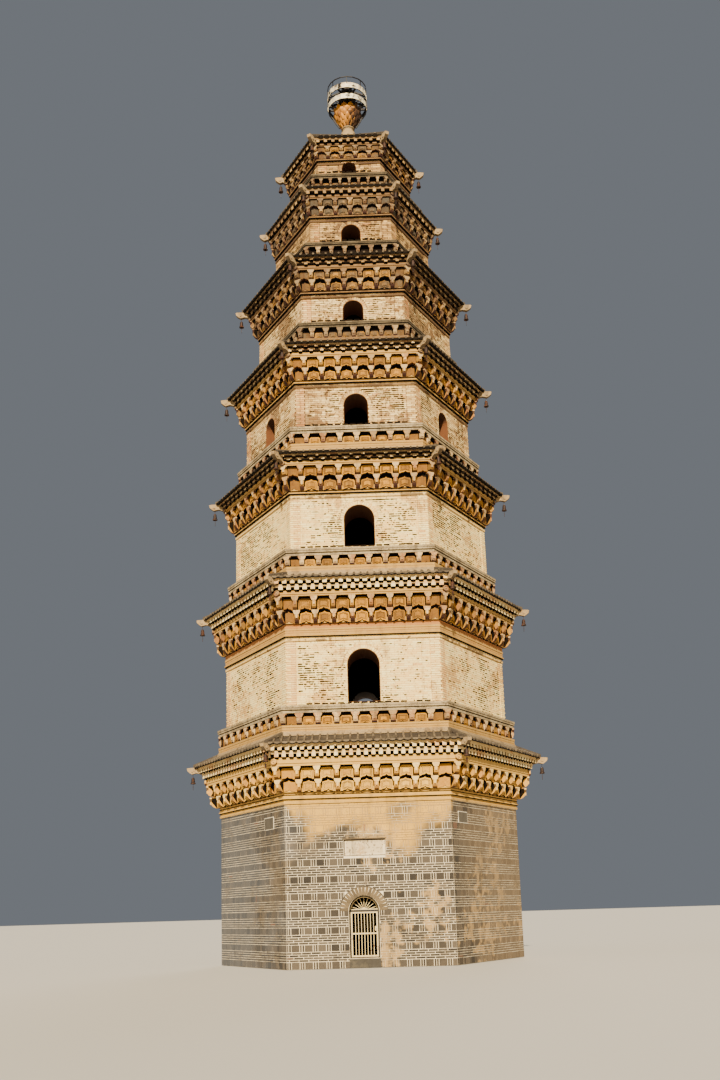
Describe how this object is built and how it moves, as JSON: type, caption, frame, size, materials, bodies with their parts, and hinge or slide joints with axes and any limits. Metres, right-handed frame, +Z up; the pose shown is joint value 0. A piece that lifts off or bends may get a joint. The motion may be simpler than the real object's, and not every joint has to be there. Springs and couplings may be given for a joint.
{
  "type": "hexagonal brick pagoda",
  "caption": "Hexagonal multi-storey brick pagoda with bracketed eaves, balconies, arched openings, a barred ground door and an iron-caged lotus finial.",
  "frame": {"origin": "centre of the hexagonal base, at ground level", "axes": "+Z up along the tower's axis, -Y out of the front face with the door, +X to the right of someone facing the door"},
  "size_m": [11.7, 10.1924, 30.294],
  "materials": {
    "grey_brick": "weathered brown-grey brick with white lime joints",
    "limewashed_brick": "cream limewash worn through to the brick",
    "terracotta": "weathered carved brick brackets with lime traces",
    "roof_tile": "dark grey fired clay roof tiles, dusty",
    "pale_stone": "smooth pale stone, lightly stained",
    "grey_stone": "worn grey stone",
    "painted_steel": "cream painted steel, chipped and dusty",
    "lotus_ceramic": "orange-brown fired clay petals",
    "wrought_iron": "dark rusted iron with pale lime on the bands"
  },
  "bodies": {
    "tower": {"ground_floor": "grey_stone", "ground_wall_front_left_pier": "grey_brick", "ground_wall_front_right_pier": "grey_brick", "ground_wall_front_over_door": "grey_brick", "ground_wall_right_front": "grey_brick", "ground_wall_right_back": "grey_brick", "ground_wall_back": "grey_brick", "ground_wall_left_back": "grey_brick", "ground_wall_left_front": "grey_brick", "stone_tablet": "pale_stone", "door_threshold": "grey_stone", "door_frame": "painted_steel", "fanlight_grille": "painted_steel", "storey_1_cornice": "terracotta", "storey_1_roof": "roof_tile", "storey_2_balcony": "terracotta", "storey_2_wall": "limewashed_brick", "storey_2_cornice": "terracotta", "storey_2_roof": "roof_tile", "storey_3_balcony": "terracotta", "storey_3_wall": "limewashed_brick", "storey_3_cornice": "terracotta", "storey_3_roof": "roof_tile", "storey_4_balcony": "terracotta", "storey_4_wall": "limewashed_brick", "storey_4_cornice": "terracotta", "storey_4_roof": "roof_tile", "storey_5_balcony": "terracotta", "storey_5_wall": "limewashed_brick", "storey_5_cornice": "terracotta", "storey_5_roof": "roof_tile", "storey_6_balcony": "terracotta", "storey_6_wall": "limewashed_brick", "storey_6_cornice": "terracotta", "storey_6_roof": "roof_tile", "storey_7_balcony": "terracotta", "storey_7_wall": "limewashed_brick", "storey_7_cornice": "terracotta", "storey_7_roof": "roof_tile", "finial_pedestal": "pale_stone", "finial_lotus_bowl": "lotus_ceramic", "finial_cage": "wrought_iron"},
    "door_leaf": {"door_leaf": "painted_steel"}
  },
  "joints": [
    {"name": "door_hinge", "type": "hinge", "parent": "tower", "child": "door_leaf", "pos_m": [-0.553, -3.82692, 0.9], "axis": [0, 0, 1], "range_deg": [0, 90]}
  ]
}
